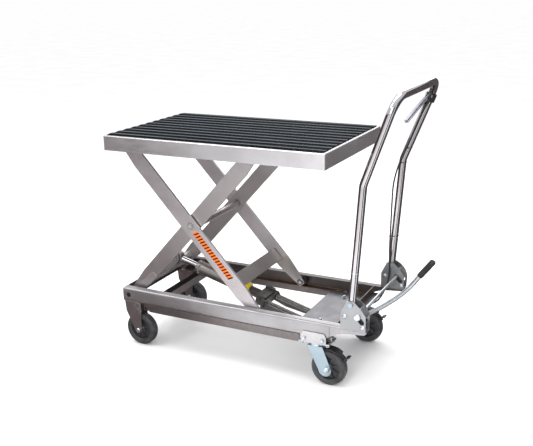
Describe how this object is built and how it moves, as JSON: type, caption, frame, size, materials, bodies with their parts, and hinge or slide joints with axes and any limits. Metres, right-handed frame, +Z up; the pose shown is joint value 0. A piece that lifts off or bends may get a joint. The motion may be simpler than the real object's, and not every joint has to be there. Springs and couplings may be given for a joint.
{
  "type": "manual scissor lift table",
  "caption": "Mobile hydraulic lift table: ribbed mat platform on a single scissor over a wheeled channel base, foot-pumped ram, chrome push handle with a release lever",
  "frame": {"origin": "on the floor under the middle of the whole cart's length and width", "axes": "+X towards the push handle, +Y towards the side with the release cable, +Z up"},
  "size_m": [1.0806, 0.5, 0.9596],
  "materials": {
    "powder_coat": "silver-grey metallic powder coat on steel sheet and bar",
    "zinc": "bright zinc-plated steel",
    "chrome": "polished chrome-plated steel tube",
    "dark_steel": "dark blackened steel, lightly oily",
    "deck_rubber": "dark ribbed rubber",
    "tyre": "dark grey solid rubber",
    "black_plastic": "black moulded plastic",
    "yellow_ring": "yellow painted steel ring"
  },
  "bodies": {
    "base": {"rail_near": "powder_coat", "rail_far": "powder_coat", "side_bar_near": "powder_coat", "side_bar_far": "powder_coat", "front_cross_member": "powder_coat", "middle_cross_member": "powder_coat", "end_cross_member": "powder_coat", "deck_plate": "powder_coat", "ram_anchor": "powder_coat", "base_pivot_shaft": "zinc", "ram_pivot_pin": "zinc", "fixed_fork_near": "powder_coat", "fixed_fork_far": "powder_coat", "caster_plate_near": "zinc", "caster_plate_far": "zinc", "handle_bracket_near": "powder_coat", "handle_bracket_far": "powder_coat", "handle_bolt_near": "zinc", "handle_bolt_far": "zinc", "release_cable_lower": "black_plastic"},
    "inner_frame": {"inner_arm_near": "powder_coat", "inner_arm_far": "powder_coat", "centre_cross_tube": "powder_coat", "ram_cross_tube": "powder_coat"},
    "outer_frame": {"outer_arm_near": "powder_coat", "outer_arm_far": "powder_coat", "centre_pin_near": "zinc", "centre_pin_far": "zinc", "cross_beam": "powder_coat"},
    "table": {"table_pan": "powder_coat", "table_mat": "deck_rubber", "table_track_near": "powder_coat", "table_track_far": "powder_coat", "table_pivot_shaft": "zinc"},
    "ram_unit": {"ram_barrel": "dark_steel", "ram_collar": "yellow_ring", "pump_block": "dark_steel", "pump_frame": "dark_steel", "return_spring_near": "dark_steel", "return_spring_far": "dark_steel"},
    "ram_plunger": {"ram_rod": "chrome"},
    "pedal": {"pedal_lever": "zinc", "pedal_grip": "black_plastic"},
    "handle": {"push_handle": "chrome", "lever_perch": "black_plastic", "release_cable_upper": "black_plastic"},
    "lever": {"release_lever": "zinc"},
    "locking_rod": {"lock_rod": "zinc"},
    "fixed_wheel_near": {"fixed_wheel_near": "tyre"},
    "caster_near": {"caster_fork_near": "zinc"},
    "caster_wheel_near": {"caster_wheel_near": "tyre"},
    "brake_near": {"caster_brake_near": "black_plastic"},
    "table_roller_near": {"table_roller_near": "dark_steel"},
    "base_roller_near": {"base_roller_near": "dark_steel"},
    "fixed_wheel_far": {"fixed_wheel_far": "tyre"},
    "caster_far": {"caster_fork_far": "zinc"},
    "caster_wheel_far": {"caster_wheel_far": "tyre"},
    "brake_far": {"caster_brake_far": "black_plastic"},
    "table_roller_far": {"table_roller_far": "dark_steel"},
    "base_roller_far": {"base_roller_far": "dark_steel"}
  },
  "joints": [
    {"name": "lift", "type": "hinge", "parent": "base", "child": "inner_frame", "pos_m": [-0.5123, 0, 0.193], "axis": [0, -1, 0], "range_deg": [-41.7, 8]},
    {"name": "scissor_cross", "type": "hinge", "parent": "inner_frame", "child": "outer_frame", "pos_m": [-0.2579, 0, 0.47258], "axis": [0, -1, 0], "range_deg": [-17, 84]},
    {"name": "table_level", "type": "hinge", "parent": "outer_frame", "child": "table", "pos_m": [-0.5123, 0, 0.75216], "axis": [0, -1, 0], "range_deg": [-42.5, 9]},
    {"name": "ram_swing", "type": "hinge", "parent": "base", "child": "ram_unit", "pos_m": [0.1647, 0, 0.121], "axis": [0, 1, 0], "range_deg": [-7, 2]},
    {"name": "ram_extend", "type": "slide", "parent": "ram_unit", "child": "ram_plunger", "axis": [-0.964, 0, 0.2659], "range_m": [-0.0625, 0.0125]},
    {"name": "pedal_pump", "type": "hinge", "parent": "base", "child": "pedal", "pos_m": [0.2367, 0, 0.146], "axis": [0, -1, 0], "range_deg": [-35, 0], "stiffness_Nm_per_rad": 6, "springref_deg": 34.38},
    {"name": "handle_tilt", "type": "hinge", "parent": "base", "child": "handle", "pos_m": [0.3357, 0, 0.302], "axis": [0, -1, 0], "range_deg": [0, 12]},
    {"name": "release_squeeze", "type": "hinge", "parent": "handle", "child": "lever", "pos_m": [0.44726, 0.182, 0.89976], "axis": [-0.9349, 0, 0.355], "range_deg": [0, 12], "stiffness_Nm_per_rad": 0.8, "springref_deg": -28.65},
    {"name": "lock_slide", "type": "slide", "parent": "base", "child": "locking_rod", "axis": [0.6649, 0, -0.7469], "range_m": [0, 0.02], "stiffness_N_per_m": 300, "springref_m": -0.025},
    {"name": "fixed_wheel_near_spin", "type": "hinge", "parent": "base", "child": "fixed_wheel_near", "pos_m": [-0.4803, -0.175, 0.06], "axis": [0, 1, 0], "continuous": true},
    {"name": "caster_near_swivel", "type": "hinge", "parent": "base", "child": "caster_near", "pos_m": [0.2117, -0.178, 0.14], "axis": [0, 0, 1], "continuous": true},
    {"name": "caster_wheel_near_spin", "type": "hinge", "parent": "caster_near", "child": "caster_wheel_near", "pos_m": [0.2537, -0.178, 0.06], "axis": [0, 1, 0], "continuous": true},
    {"name": "brake_near_press", "type": "hinge", "parent": "caster_near", "child": "brake_near", "pos_m": [0.2468, -0.178, 0.12564], "axis": [0, 1, 0], "range_deg": [0, 3]},
    {"name": "table_roller_near_spin", "type": "hinge", "parent": "inner_frame", "child": "table_roller_near", "pos_m": [-0.0035, -0.186, 0.75216], "axis": [0, 1, 0], "continuous": true},
    {"name": "base_roller_near_spin", "type": "hinge", "parent": "outer_frame", "child": "base_roller_near", "pos_m": [-0.0035, -0.186, 0.193], "axis": [0, 1, 0], "continuous": true},
    {"name": "fixed_wheel_far_spin", "type": "hinge", "parent": "base", "child": "fixed_wheel_far", "pos_m": [-0.4803, 0.175, 0.06], "axis": [0, 1, 0], "continuous": true},
    {"name": "caster_far_swivel", "type": "hinge", "parent": "base", "child": "caster_far", "pos_m": [0.2117, 0.178, 0.14], "axis": [0, 0, 1], "continuous": true},
    {"name": "caster_wheel_far_spin", "type": "hinge", "parent": "caster_far", "child": "caster_wheel_far", "pos_m": [0.2537, 0.178, 0.06], "axis": [0, 1, 0], "continuous": true},
    {"name": "brake_far_press", "type": "hinge", "parent": "caster_far", "child": "brake_far", "pos_m": [0.2468, 0.178, 0.12564], "axis": [0, 1, 0], "range_deg": [0, 3]},
    {"name": "table_roller_far_spin", "type": "hinge", "parent": "inner_frame", "child": "table_roller_far", "pos_m": [-0.0035, 0.186, 0.75216], "axis": [0, 1, 0], "continuous": true},
    {"name": "base_roller_far_spin", "type": "hinge", "parent": "outer_frame", "child": "base_roller_far", "pos_m": [-0.0035, 0.186, 0.193], "axis": [0, 1, 0], "continuous": true}
  ],
  "couplings": [
    {"joint": "scissor_cross", "follows": "lift", "ratio": -2},
    {"joint": "table_level", "follows": "lift", "ratio": 1},
    {"joint": "ram_swing", "follows": "lift", "ratio": 0.149},
    {"joint": "ram_extend", "follows": "lift", "m_per_rad": 0.083079}
  ]
}
